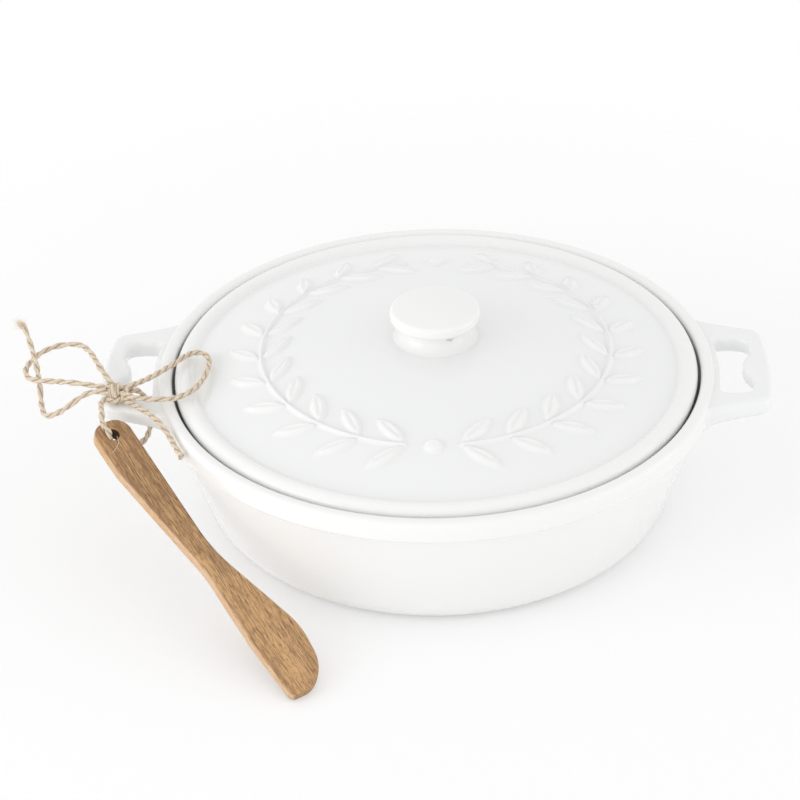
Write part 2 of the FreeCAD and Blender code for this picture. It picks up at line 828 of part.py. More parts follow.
# Every object is checked before anything is written.
for item in doc.Objects:
    if "Invalid" in item.State or "Error" in item.State:
        raise RuntimeError(f"{item.Name} failed: {item.State}")
kept = [dish, lid, spreader, knot, *stretches]
for item in kept:
    if item.Shape.isNull() or not item.Shape.isValid() or not item.Shape.Solids:
        raise RuntimeError(f"{item.Label} has no valid solid")

os.makedirs("parts", exist_ok=True)
for item in kept:
    item.Shape.exportStep(f"parts/{item.Label}.step")
    box = item.Shape.BoundBox
    corners = [round(value, 1) for value in (box.XMin, box.YMin, box.ZMin, box.XMax, box.YMax, box.ZMax)]
    print(item.Label, len(item.Shape.Solids), "solid", round(item.Shape.Volume), corners)
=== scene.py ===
"""A lidded camembert baker in white glazed stoneware, with a wooden spreader tied on.

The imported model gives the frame: metres, +Z up, the dish's foot at the origin and its two
lug handles along X. The shapes are in millimetres and become metres where a mesh is made.
The finishes, the lamps and the table are in metres. The turned pieces are a section carried
round the upright axis, the handles are a section carried along their bow, and the string is
a two-ply section carried along a curve.
"""

import logging
import math
from dataclasses import dataclass, field, replace
from enum import Enum

import bpy
import numpy as np
from mathutils import Matrix, Vector

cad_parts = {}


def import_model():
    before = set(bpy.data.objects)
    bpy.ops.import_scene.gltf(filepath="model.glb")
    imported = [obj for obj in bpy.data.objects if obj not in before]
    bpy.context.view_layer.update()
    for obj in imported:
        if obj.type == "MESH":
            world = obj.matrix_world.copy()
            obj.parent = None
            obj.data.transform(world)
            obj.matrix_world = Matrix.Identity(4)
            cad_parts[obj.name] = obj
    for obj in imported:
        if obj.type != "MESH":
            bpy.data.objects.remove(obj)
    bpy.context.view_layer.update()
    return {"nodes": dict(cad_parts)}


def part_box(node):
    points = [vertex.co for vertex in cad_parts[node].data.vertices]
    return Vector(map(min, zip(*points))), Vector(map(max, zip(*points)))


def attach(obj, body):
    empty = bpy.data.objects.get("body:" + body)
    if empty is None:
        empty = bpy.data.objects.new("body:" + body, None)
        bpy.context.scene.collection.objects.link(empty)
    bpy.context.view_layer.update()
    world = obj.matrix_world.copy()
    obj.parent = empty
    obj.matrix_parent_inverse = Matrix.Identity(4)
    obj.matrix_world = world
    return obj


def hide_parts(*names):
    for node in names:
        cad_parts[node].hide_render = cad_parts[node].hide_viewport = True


MM = 0.001
BODY = "root"
UP = (0, 0, 1)
AXIS_GAP = 0.5  # how near a turned section comes to the axis, where a point shuts it
FIBRE_TAPER = 0.75  # how much of a loose fibre's thickness is gone at its tip
FIBRE_GRAIN = 3.7  # how far apart loose fibres look up their tone
log = logging.getLogger("camembert_baker")


class Mark(Enum):
    """The names of the values that a mesh carries at each of its points."""

    RAISED = "raised"
    THREAD = "thread"


# ---- Surfaces: rings of points, skinned ----


@dataclass
class Skin:
    """A closed surface: its points, its four-sided and its three-sided faces.

    Attributes:
        points: A row for each point: its place in millimetres, how raised it is and the
            three thread coordinates.
    """

    points: np.ndarray
    quads: np.ndarray
    tris: np.ndarray

    def volume(self) -> float:
        """The enclosed volume in cubic millimetres, below zero if it is inside out."""
        halves = (self.quads[:, [0, 1, 2]], self.quads[:, [0, 2, 3]], self.tris)
        a, b, c = (self.points[np.concatenate(halves)[:, i], :3] for i in range(3))
        return float(np.einsum("ij,ij->i", a, np.cross(b, c)).sum() / 6)


def loft(
    rings: np.ndarray,
    raised: np.ndarray | None = None,
    thread: np.ndarray | None = None,
    endless: bool = False,
) -> Skin:
    """Skins a row of closed rings and shuts both ends at the middle of the end rings.

    Args:
        rings: Points as (ring, place round it, xyz), in millimetres.
        raised: One number for each point, 0 in the hollows and 1 on what stands up.
        thread: One vector for each point, the coordinates that the fibres follow.
        endless: Joins the last ring to the first and has no ends.
    """
    count, around = rings.shape[:2]
    raised = np.zeros((count, around)) if raised is None else raised
    thread = np.zeros((count, around, 3)) if thread is None else thread
    grid = np.arange(count * around).reshape(count, around)
    near = grid if endless else grid[:-1]
    after = np.roll(grid, -1, axis=0) if endless else grid[1:]
    walls = np.stack([near, np.roll(near, -1, 1), np.roll(after, -1, 1), after], -1)
    tris = np.zeros((0, 3), int)
    marked = np.concatenate([rings, raised[..., None], thread], -1)
    points = marked.reshape(grid.size, -1)
    if not endless:
        first, last = np.full(around, len(points)), np.full(around, len(points) + 1)
        shut = np.stack([first, np.roll(grid[0], -1), grid[0]], -1)
        lid = np.stack([last, grid[-1], np.roll(grid[-1], -1)], -1)
        tris = np.concatenate([shut, lid])
        points = np.concatenate([points, marked[[0, -1]].mean(1)])
    skin = Skin(points, walls.reshape(-1, 4), tris)
    if skin.volume() < 0:
        skin.quads, skin.tris = skin.quads[:, ::-1], skin.tris[:, ::-1]
    return skin


def turned(section: np.ndarray, columns: int) -> np.ndarray:
    """Carries a section of (across, up) points round the upright axis, as rings."""
    turn = np.linspace(0, 2 * math.pi, columns, endpoint=False)
    across, up = section[:, :1], section[:, 1:]
    return np.stack([across * np.cos(turn), across * np.sin(turn), np.repeat(up, columns, 1)], -1)


def rounded(
    corners: list[tuple[float, float, float]], bend: int = 8, step: float = 2.0, run: int = 0
) -> np.ndarray:
    """A line through corners of (x, y, radius), each bend an arc tangent to both runs.

    A run's points stand closer together towards its ends, so that its shading stays flat.

    Args:
        corners: The line's corners. The first and last radius aren't used.
        bend: Steps in each arc.
        step: The longest step along a run, in millimetres.
        run: Even steps in each run instead, so that lines with as many corners pair up.
    """
    spots = np.array([corner[:2] for corner in corners], float)
    arcs = [spots[:1]]
    for i in range(1, len(corners) - 1):
        radius = corners[i][2]
        back, ahead = spots[i] - spots[i - 1], spots[i + 1] - spots[i]
        back, ahead = back / np.linalg.norm(back), ahead / np.linalg.norm(ahead)
        turn = math.atan2(back[0] * ahead[1] - back[1] * ahead[0], float(back @ ahead))
        if radius <= 0 or abs(turn) < 1e-6:
            arcs.append(spots[i : i + 1])
            continue
        reach = radius * math.tan(abs(turn) / 2)
        side = np.array([-back[1], back[0]]) * math.copysign(1, turn)
        centre = spots[i] - back * reach + side * radius
        angles = np.linspace(0, turn, bend + 1)[:, None]
        spoke = -side * radius
        arcs.append(centre + np.cos(angles) * spoke + np.sin(angles) * (-spoke[1], spoke[0]))
    arcs.append(spots[-1:])
    line = [arcs[0]]
    for before, after in zip(arcs, arcs[1:]):
        length = np.linalg.norm(after[0] - before[-1])
        count = run or (max(2, math.ceil(length / step)) if length > step / 2 else 1)
        share = np.arange(1, count) / count
        share = share if run else (1 - np.cos(np.pi * share)) / 2
        line.append(before[-1] + share[:, None] * (after[0] - before[-1]))
        line.append(after)
    return np.concatenate(line)


def smooth(value: np.ndarray) -> np.ndarray:
    """An even S-shaped rise from 0 to 1."""
    value = np.clip(value, 0, 1)
    return value * value * (3 - 2 * value)


def linked(name: str, data: bpy.types.ID) -> bpy.types.Object:
    """Makes an object of some data and puts it in the scene."""
    made = bpy.data.objects.new(name, data)
    bpy.context.scene.collection.objects.link(made)
    return made


def piece(
    name: str, skins: list[Skin], finish: bpy.types.Material, node: str = ""
) -> bpy.types.Object:
    """Makes one smooth-shaded object of some skins, with its finish and its marks.

    Args:
        name: The object's name.
        skins: Its closed surfaces.
        finish: Its material.
        node: The CAD node that it stands for, if there is one.
    """
    starts = np.cumsum([0] + [len(skin.points) for skin in skins[:-1]])
    quads = np.concatenate([skin.quads + start for skin, start in zip(skins, starts)])
    tris = np.concatenate([skin.tris + start for skin, start in zip(skins, starts)])
    points = np.concatenate([skin.points for skin in skins])
    mesh = bpy.data.meshes.new(name)
    mesh.from_pydata((points[:, :3] * MM).tolist(), [], quads.tolist() + tris.tolist())
    mesh.shade_smooth()
    raised = mesh.attributes.new(Mark.RAISED.value, "FLOAT", "POINT")
    raised.data.foreach_set("value", points[:, 3].copy())
    thread = mesh.attributes.new(Mark.THREAD.value, "FLOAT_VECTOR", "POINT")
    thread.data.foreach_set("vector", points[:, 4:].ravel())
    mesh.materials.append(finish)
    made = linked(name, mesh)
    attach(made, BODY)
    if node:
        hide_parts(node)
    log.info("%s: %d points", name, len(points))
    return made


# ---- Finishes ----


class Number:
    """A shader's number that can be reckoned with like a plain one."""

    def __init__(self, graph: "Graph", socket: bpy.types.NodeSocket) -> None:
        self.graph, self.socket = graph, socket

    def _with(self, operation: str, first, second=None) -> "Number":
        values = {0: first} if second is None else {0: first, 1: second}
        node = self.graph.node("Math", {"operation": operation}, values)
        return Number(self.graph, node.outputs[0])

    def __add__(self, other) -> "Number":
        return self._with("ADD", self, other)

    def __sub__(self, other) -> "Number":
        return self._with("SUBTRACT", self, other)

    def __rsub__(self, other) -> "Number":
        return self._with("SUBTRACT", other, self)

    def __mul__(self, other) -> "Number":
        return self._with("MULTIPLY", self, other)

    def __truediv__(self, other) -> "Number":
        return self._with("DIVIDE", self, other)

    __radd__ = __add__
    __rmul__ = __mul__

    def size(self) -> "Number":
        """The number without its sign."""
        return self._with("ABSOLUTE", self)

    def between(self, low: float, high: float, rise: str = "SMOOTHSTEP") -> "Number":
        """0 below low, 1 above high and a rise between."""
        node = self.graph.node(
            "MapRange",
            {"interpolation_type": rise},
            {"Value": self, "From Min": low, "From Max": high},
        )
        return Number(self.graph, node.outputs["Result"])

    def within(self, low: float, full: float, late: float, high: float) -> "Number":
        """1 from full to late, 0 below low and above high."""
        return self.between(low, full) * (1 - self.between(late, high))


class Graph:
    """The nodes of one material or world."""

    def __init__(self, owner: bpy.types.Material | bpy.types.World) -> None:
        owner.use_nodes = True
        self.owner, self.tree = owner, owner.node_tree
        self.tree.nodes.clear()

    def node(self, kind: str, settings: dict | None = None, values: dict | None = None):
        """Adds a node.

        Args:
            kind: The node's type, without the words that all types start with.
            settings: Its own settings by name.
            values: What its inputs hold or are fed by, by name or place.
        """
        node = self.tree.nodes.new("ShaderNode" + kind)
        for name, value in (settings or {}).items():
            setattr(node, name, value)
        for name, value in (values or {}).items():
            value = value.socket if isinstance(value, Number) else value
            if isinstance(value, bpy.types.NodeSocket):
                self.tree.links.new(value, node.inputs[name])
            else:
                node.inputs[name].default_value = value
        return node

    def mix(self, share, low, high) -> bpy.types.NodeSocket:
        """A colour part of the way from low to high."""
        low = (*low, 1) if isinstance(low, tuple) else low
        high = (*high, 1) if isinstance(high, tuple) else high
        node = self.node("Mix", {"data_type": "RGBA"}, {0: share, 6: low, 7: high})
        return node.outputs[2]

    def noise(self, place, scale: float, detail: float = 3, rough: float = 0.5) -> Number:
        """Cloudy noise about 0.5."""
        values = {"Vector": place, "Scale": scale, "Detail": detail, "Roughness": rough}
        return Number(self, self.node("TexNoise", {}, values).outputs[0])

    def mark(self, mark: Mark) -> bpy.types.ShaderNodeAttribute:
        """Reads a value that the mesh carries."""
        return self.node("Attribute", {"attribute_name": mark.value})

    def raised(self) -> Number:
        """0 in the hollows and 1 on what stands up."""
        return Number(self, self.mark(Mark.RAISED).outputs["Fac"])

    def place(self) -> bpy.types.NodeSocket:
        """The shaded point in the row frame, in metres."""
        return self.node("TexCoord").outputs["Object"]

    def vector(self, operation: str, *values) -> bpy.types.ShaderNodeVectorMath:
        """Reckons with vectors."""
        return self.node("VectorMath", {"operation": operation}, dict(enumerate(values)))

    def joined(self, *sides) -> bpy.types.NodeSocket:
        """The vector with these sides."""
        return self.node("CombineXYZ", {}, dict(enumerate(sides))).outputs[0]

    def length(self, vector) -> Number:
        """How long a vector is."""
        return Number(self, self.vector("LENGTH", vector).outputs["Value"])

    def dot(self, vector, direction: tuple[float, float, float]) -> Number:
        """How far a vector goes in a direction."""
        return Number(self, self.vector("DOT_PRODUCT", vector, direction).outputs["Value"])

    def bump(self, height, depth: float) -> bpy.types.NodeSocket:
        """A bumped normal. Depth is the height's real size in metres."""
        node = self.node("Bump", {}, {"Height": height, "Distance": depth})
        return node.outputs["Normal"]

    def surface(self, values: dict) -> bpy.types.Material:
        """Ends the material with one principled shader and gives it back."""
        shader = self.node("BsdfPrincipled", {}, values)
        self.node("OutputMaterial", {}, {"Surface": shader.outputs[0]})
        return self.owner


@dataclass(frozen=True)
class Glaze:
    """A thick white gloss glaze, bare under the foot, and matt on the lid's ledge with painted
    shade there for the dark of the gap.

    Attributes:
        pooled: The glaze's colour in hollows, where it is thickest.
        foot: The heights between which the bare foot ends.
        ledge_shade_across: Where the painted shade round the ledge starts and ends, each with its
            soft edge.
        ledge_shade_height: The same for its heights.
    """

    body: tuple = (0.88, 0.88, 0.87)
    pooled: tuple = (0.85, 0.86, 0.855)
    bare: tuple = (0.72, 0.68, 0.6)
    # Painted shade: the dark of the gap round the lid's ledge.
    ledge: tuple = (0.24, 0.22, 0.185)
    foot: tuple = (0.5 * MM, 0.8 * MM)
    ledge_shade_across: tuple = (83.5 * MM, 84.2 * MM, 89.7 * MM, 90.1 * MM)
    ledge_shade_height: tuple = (44.0 * MM, 44.3 * MM, 44.6 * MM, 46.8 * MM)
    roughness: float = 0.09
    bare_roughness: float = 0.75
    raised_share: float = 0.8
    cloud_share: float = 0.2
    cloud_scale: float = 18.0
    ripple: float = 0.03 * MM
    ripple_scale: float = 55.0

    def material(self, name: str) -> bpy.types.Material:
        """Makes the finish."""
        graph = Graph(bpy.data.materials.new(name))
        place = graph.place()
        height = graph.dot(place, UP)
        foot = 1 - height.between(*self.foot)
        across = graph.length(graph.vector("MULTIPLY", place, (1, 1, 0)).outputs[0])
        # Painted shade: the faces down in the gap round the lid's ledge are darkened and made
        # matt.
        ledge = across.within(*self.ledge_shade_across) * height.within(*self.ledge_shade_height)
        cloud = graph.noise(place, self.cloud_scale, 2)
        thin = graph.raised() * self.raised_share + cloud * self.cloud_share
        tone = graph.mix(foot, graph.mix(thin, self.pooled, self.body), self.bare)
        rough = (foot + ledge) * (self.bare_roughness - self.roughness)
        ripple = graph.noise(place, self.ripple_scale, 1.5)
        return graph.surface(
            {
                "Base Color": graph.mix(ledge, tone, self.ledge),
                "Roughness": rough + self.roughness,
                "IOR": 1.5,
                "Normal": graph.bump(ripple, self.ripple),
            }
        )


@dataclass(frozen=True)
class Wood:
    """Oiled brown hardwood: soft bands and short dark pores, with a painted highlight on its left
    side and painted shade inside its hole.

    Attributes:
        heading: Which way the spreader points from its top end, in degrees.
        slope: How steeply it leans, in degrees.
        top: The place of its top end, where its own axes start.
        hole: Where its hole is along and across it, and the hole's radius.
        left_edge: Its left edge as (along, across) in millimetres.
        crease: Where the darker line beside that edge starts and ends, in millimetres.
        bands, grain, pores: How fast each noise changes along, across and into the wood.
        shares: What bands, grain and the place along the spreader add to its lightness.
        shade: What is then taken off it.
    """

    brown: tuple = (0.30, 0.165, 0.078)
    golden: tuple = (0.66, 0.395, 0.18)
    dark: tuple = (0.17, 0.08, 0.036)
    # The pale tone of the painted highlight on the left side.
    edge: tuple = (0.76, 0.54, 0.37)
    # Painted shade: the dark inside the hole.
    hole_shade_tone: tuple = (0.12, 0.06, 0.028)
    roughness: float = 0.46
    pore_depth: float = 0.12 * MM
    heading: float = -54.3
    slope: float = 22.13
    top: tuple = (-108.3 * MM, -30.2 * MM, 48.4 * MM)
    length: float = 119.7 * MM
    hole: tuple = (6.2 * MM, -2.4 * MM, 2.45 * MM)
    left_edge: tuple = ((0.0, -8.2), (19.4, -8.2), (67.4, -1.4), (96.4, -2.1), (119.7, -0.8))
    crease: tuple = (-0.2, 0.4, 0.5, 1.5)
    crease_wander: float = 4.0
    bands: tuple = (22, 300, 180)
    grain: tuple = (130, 2500, 1400)
    pores: tuple = (380, 3400, 1900)
    shares: tuple = (1.2, 2.4, 0.26)
    shade: float = 1.5

    def axes(self) -> tuple:
        """The spreader's own directions: along it, across it and out of its face."""
        yaw, dip = math.radians(self.heading), math.radians(self.slope)
        c, s = math.cos(yaw), math.sin(yaw)
        level, down = math.cos(dip), math.sin(dip)
        return (c * level, s * level, -down), (-s, c, 0.0), (c * down, s * down, level)

    def from_left(self, along: Number, across: Number) -> Number:
        """How far a place lies inward of the left edge, in millimetres."""
        line = self.left_edge[0][1]
        for (low, was), (high, now) in zip(self.left_edge, self.left_edge[1:]):
            line = along.between(low * MM, high * MM, "LINEAR") * (now - was) + line
        return across / MM - line

    def material(self, name: str) -> bpy.types.Material:
        """Makes the finish. The grain runs along the spreader."""
        graph = Graph(bpy.data.materials.new(name))
        shift = graph.vector("SUBTRACT", graph.place(), self.top).outputs[0]
        ways = self.axes()
        axes = [graph.dot(shift, way) for way in ways]
        bands, grain, dashes = (
            graph.noise(graph.joined(*(a * b for a, b in zip(axes, scales))), 1.0, detail, rough)
            for scales, detail, rough in (
                (self.bands, 3, 0.6), (self.grain, 4, 0.7), (self.pores, 2, 0.6)
            )
        )
        tip = (axes[0] / self.length).between(0.2, 0.95)
        banded, grained, tipped = self.shares
        light = bands * banded + grain * grained + tip * tipped - self.shade
        pores = dashes.between(0.53, 0.65) * (1 - grain.between(0.42, 0.62) * 0.5)
        face = graph.node("NewGeometry").outputs["Normal"]
        level = graph.dot(face, ways[2])
        rim = 1 - level.size().between(0.2, 0.86)
        # Painted highlight: the left side, which faces the key lamp, is made paler.
        left = 1 - (graph.dot(face, ways[1]) + 1).between(0.35, 0.75)
        inward = self.from_left(axes[0], axes[1]) + (bands - 0.5) * self.crease_wander
        lit_side = graph.mix((grain + bands).between(0.75, 1.15), self.golden, self.edge)
        # Painted shade: the inside of the hole is darkened and made rougher.
        x, y, radius = self.hole
        away = graph.length(graph.joined(axes[0] - x, axes[1] - y))
        inside = 1 - away.between(radius * 0.96, radius * 1.02)
        painted_hole_shade = inside * (1 - level.between(0.5, 0.9))
        tone = graph.mix(light.between(0.02, 0.8), self.brown, self.golden)
        for share, over in (
            (pores * 0.65, self.dark),
            (rim * 0.55, self.brown),
            (rim * left * 0.85, lit_side),
            (inward.within(*self.crease) * (1 - rim) * 0.6, self.brown),
            (painted_hole_shade, self.hole_shade_tone),
        ):
            tone = graph.mix(share, tone, over)
        return graph.surface(
            {
                "Base Color": tone,
                "Roughness": pores * 0.2 + painted_hole_shade * 0.4 + self.roughness,
                "IOR": 1.45,
                "Normal": graph.bump(grain * 0.35 - pores, self.pore_depth),
            }
        )


@dataclass(frozen=True)
class Jute:
    """Dry plant fibre in pale and warm tan, with painted shade in the grooves between the plies.
    """

    pale: tuple = (0.85, 0.75, 0.61)
    warm: tuple = (0.63, 0.495, 0.355)
    # Painted shade: the colour down in the grooves between the plies.
    furrow_shade: tuple = (0.41, 0.30, 0.205)
    roughness: float = 0.85
    fibre_depth: float = 0.22 * MM

    def material(self, name: str) -> bpy.types.Material:
        """Makes the finish. The fibres follow the thread marks."""
        graph = Graph(bpy.data.materials.new(name))
        thread = graph.mark(Mark.THREAD).outputs["Vector"]
        fibres = graph.noise(thread, 1.0, 3, 0.62)
        clumps = graph.noise(thread, 0.3, 2)
        tone = graph.mix(fibres.between(0.38, 0.57), self.warm, self.pale)
        tone = graph.mix(clumps.between(0.5, 0.75) * 0.4, tone, self.warm)
        # Painted shade: darker down in the grooves, where the plies meet.
        deep = 1 - (graph.raised() + fibres * 0.5 - 0.25).between(0.05, 0.6)
        return graph.surface(
            {
                "Base Color": graph.mix(deep * 0.85, tone, self.furrow_shade),
                "Roughness": self.roughness,
                "IOR": 1.4,
                "Normal": graph.bump(fibres, self.fibre_depth),
            }
        )


@dataclass(frozen=True)
class Finishes:
    """The materials that the pieces share."""

    glaze: bpy.types.Material
    wood: bpy.types.Material
    jute: bpy.types.Material
    lit_fluff: bpy.types.Material


# ---- String: two plies laid up together, tied in a bow ----


@dataclass(frozen=True)
class Stretch:
    """One stretch of the string between the knot and where it goes.

    Attributes:
        node: The CAD node that it stands for.
        route: Points that pull the curve, from the knot on, in millimetres.
        length: Its real length in millimetres. It is not used.
        pitch: The length of one full turn of the plies.
        far_end: What holds its far end. It is not used.
        fray: How much thicker its last part grows. Below 0 it thins.
    """

    node: str
    route: tuple
    length: float
    pitch: float
    far_end: str
    fray: float = 0.0


STRETCHES = (
    Stretch(
        "string_tie",
        (
            (-109.4, -22.1, 51.3), (-111.9, -23.4, 51.4), (-111.6, -27.2, 51.4),
            (-110.7, -31.2, 51.1), (-110.6, -35.0, 50.2), (-107.6, -38.1, 48.3),
            (-107.9, -36.8, 44.0), (-108.4, -35.0, 39.6), (-103.6, -33.2, 38.0),
            (-98.4, -30.4, 38.7), (-96.7, -26.2, 39.3), (-96.3, -21.4, 40.4),
            (-97.3, -16.0, 42.2), (-98.4, -14.4, 46.0), (-99.6, -15.0, 49.6),
            (-101.9, -17.0, 51.4), (-105.2, -18.4, 51.4),
        ),
        length=68.4, pitch=7.6, far_end="object",
    ),
    Stretch(
        "string_loop_left",
        (
            (-109.0, -16.6, 53.4), (-111.6, -11.6, 53.8), (-115.2, -4.0, 53.6),
            (-118.6, 4.6, 53.0), (-123.0, 11.4, 52.2), (-129.4, 13.0, 51.2),
            (-135.6, 11.6, 50.0), (-139.8, 6.2, 49.2), (-141.4, -0.8, 48.9),
            (-138.6, -7.4, 49.6), (-131.4, -9.4, 50.3), (-124.0, -12.2, 51.6),
            (-116.4, -15.6, 52.6), (-110.3, -18.1, 52.9),
        ),
        length=95.0, pitch=10.4, far_end="object",
    ),
    Stretch(
        "string_loop_right",
        (
            (-104.4, -19.2, 53.7), (-100.2, -17.2, 54.0), (-94.6, -12.2, 54.2),
            (-88.4, -4.6, 54.3), (-84.4, 1.6, 54.2), (-80.2, 2.7, 54.0),
            (-77.3, -1.0, 54.0), (-76.9, -7.0, 54.2), (-77.9, -14.2, 54.2),
            (-80.5, -22.0, 54.3), (-86.2, -26.8, 54.0), (-93.6, -26.4, 53.5),
            (-100.4, -25.0, 53.2), (-105.0, -21.6, 53.0),
        ),
        length=86.0, pitch=7.4, far_end="object",
    ),
    Stretch(
        "string_tail_left",
        (
            (-110.4, -20.9, 53.2), (-114.4, -20.0, 53.0), (-118.4, -20.0, 51.4),
            (-122.6, -21.9, 48.8), (-127.0, -22.8, 45.9), (-131.6, -21.9, 43.9),
            (-133.6, -17.0, 44.4), (-134.6, -10.6, 46.1), (-135.8, -4.6, 48.3),
            (-137.3, 1.0, 51.4), (-139.6, 7.2, 54.4), (-141.6, 12.2, 56.8),
            (-143.4, 15.8, 58.2),
        ),
        length=67.5, pitch=10.4, far_end="bare", fray=-0.6,
    ),
    Stretch(
        "string_tail_right",
        (
            (-105.9, -21.9, 51.6), (-102.2, -24.6, 51.3), (-98.6, -28.4, 51.5),
            (-94.9, -32.2, 51.6), (-91.4, -36.3, 51.1), (-88.4, -40.5, 50.1),
            (-86.0, -45.3, 48.9), (-84.2, -48.7, 47.9), (-82.6, -51.3, 47.3),
        ),
        length=38.0, pitch=7.2, far_end="bare", fray=0.22,
    ),
)


@dataclass(frozen=True)
class PlySection:
    """The string's section: two round plies that press into each other.

    Attributes:
        off, radius: How far each ply's middle is set off, and its radius.
        swells, slow_drift, quick_drift: Waves along the run as (height, length, start).
    """

    off: float = 0.36
    radius: float = 0.67
    around: int = 20
    step: float = 0.3
    swells: tuple = ((0.06, 1.43, 0.0), (0.036, 0.61, 1.3))
    slow_drift: tuple = (0.45, 4.1)
    quick_drift: tuple = (0.3, 1.9)
    fray_length: float = 3.0
    fibres_round: float = 7.5
    fibres_along: float = 0.75

    def reach(self, angle: np.ndarray) -> np.ndarray:
        """The way from the middle to the outside of whichever ply lies further out.

        A ray from the middle leaves a circle of radius r, set off by d, at
        d |cos a| + sqrt(r^2 - d^2 sin^2 a).
        """
        return self.off * np.abs(np.cos(angle)) + np.sqrt(
            self.radius**2 - (self.off * np.sin(angle)) ** 2
        )

    def skin(self, line: np.ndarray, pitch: float, fray: float = 0.0) -> Skin:
        """The twisted string round a line of evenly spaced points.

        Args:
            line: The points it follows, in millimetres.
            pitch: The length of one full left-handed turn.
            fray: How much thicker its last part grows.
        """
        _, side, other = follow(line)
        run = np.arange(len(line)) * np.linalg.norm(line[1] - line[0])
        angle = np.linspace(0, 2 * math.pi, self.around, endpoint=False)
        reach = self.reach(angle)
        thick = 1 + waves(run, self.swells) + fray * smooth(1 - (run[-1] - run) / self.fray_length)
        drift = waves(run, ((*self.slow_drift, pitch), (*self.quick_drift, 0.0)))
        turn = angle[None, :] - 2 * math.pi * run[:, None] / pitch + drift[:, None]
        out = thick[:, None] * reach[None, :]
        rings = line[:, None, :] + (out * np.cos(turn))[..., None] * side[:, None, :]
        rings = rings + (out * np.sin(turn))[..., None] * other[:, None, :]
        raised = np.interp(reach, (reach.min(), reach.max()), (0, 1))
        raised = np.broadcast_to(raised, turn.shape)
        along = np.broadcast_to(run[:, None] * self.fibres_along, turn.shape)
        thread = [np.cos(turn) * self.fibres_round, np.sin(turn) * self.fibres_round, along]
        return loft(rings, raised, np.stack(thread, -1))


def waves(run: np.ndarray, terms: tuple) -> np.ndarray:
    """A sum of waves along a run, each of (height, length, start)."""
    return sum(height * np.sin(run / length + start) for height, length, start in terms)


def follow(line: np.ndarray) -> tuple[np.ndarray, np.ndarray, np.ndarray]:
    """The direction of a line at each point and two sides that turn with it untwisted."""
    way = np.gradient(line, axis=0)
    way /= np.linalg.norm(way, axis=1)[:, None]
    side = np.cross(way[0], (0.0, 0.0, 1.0))
    sides = []
    for ahead in way:
        side = side - ahead * (side @ ahead)
        side = side / np.linalg.norm(side)
        sides.append(side)
    across = np.array(sides)
    return way, across, np.cross(way, across)


def drawn(name: str, route: tuple) -> np.ndarray:
    """The points of a smooth curve that the route's points pull, in millimetres."""
    curve = bpy.data.curves.new(name, "CURVE")
    curve.dimensions = "3D"
    curve.resolution_u = 16
    spline = curve.splines.new("NURBS")
    spline.points.add(len(route) - 1)
    pulled = np.c_[np.array(route) * MM, np.ones(len(route))]
    spline.points.foreach_set("co", pulled.ravel())
    spline.order_u = 3
    spline.use_endpoint_u = True
    holder = bpy.data.objects.new(name, curve)
    mesh = bpy.data.meshes.new_from_object(holder)
    spots = np.empty(len(mesh.vertices) * 3)
    mesh.vertices.foreach_get("co", spots)
    bpy.data.objects.remove(holder)
    bpy.data.meshes.remove(mesh)
    bpy.data.curves.remove(curve)
    return spots.reshape(-1, 3) / MM


def evenly(line: np.ndarray, step: float) -> np.ndarray:
    """The same line with its points about a step apart."""
    run = np.concatenate([[0], np.cumsum(np.linalg.norm(np.diff(line, axis=0), axis=1))])
    at = np.linspace(0, run[-1], max(2, round(run[-1] / step)) + 1)
    return np.stack([np.interp(at, run, line[:, i]) for i in range(3)], -1)


def hair(roots, ways, bends, lengths, radius: float, steps: int = 7, sides: int = 3) -> list:
    """Single fibres: each runs along its way, bends towards its bend and tapers.

    Args:
        roots, ways, bends, lengths: Arrays with one row for each fibre: where it starts, in
            millimetres, the direction that it starts in and bends to, and its length.
        radius: Its thickness halved, at the root.
        steps: How many rings it has.
        sides: How many points a ring has.
    """
    share = np.linspace(0, 1, steps)
    angle = np.linspace(0, 2 * math.pi, sides, endpoint=False)
    skins = []
    for root, way, bend, length in zip(roots, ways, bends, lengths):
        line = root + length * (share[:, None] * way + share[:, None] ** 2 * bend)
        _, side, other = follow(line)
        out = radius * (1 - FIBRE_TAPER * share)[:, None, None]
        spokes = np.cos(angle)[None, :, None] * side[:, None, :]
        spokes = spokes + np.sin(angle)[None, :, None] * other[:, None, :]
        thread = np.broadcast_to(root * FIBRE_GRAIN, (steps, sides, 3))
        skins.append(loft(line[:, None, :] + out * spokes, np.ones((steps, sides)), thread))
    return skins


@dataclass(frozen=True)
class Fray:
    """Fibres that fan out of the string at one place.

    Attributes:
        name: The piece's name.
        node: The stretch that they leave.
        start: Which point of its line they leave at.
        count: How many there are.
        length: The longest one's length in millimetres.
        wide: How far their directions scatter.
        lean: Where they bend to.
    """

    name: str
    node: str
    start: int
    count: int
    length: float
    wide: float
    lean: tuple


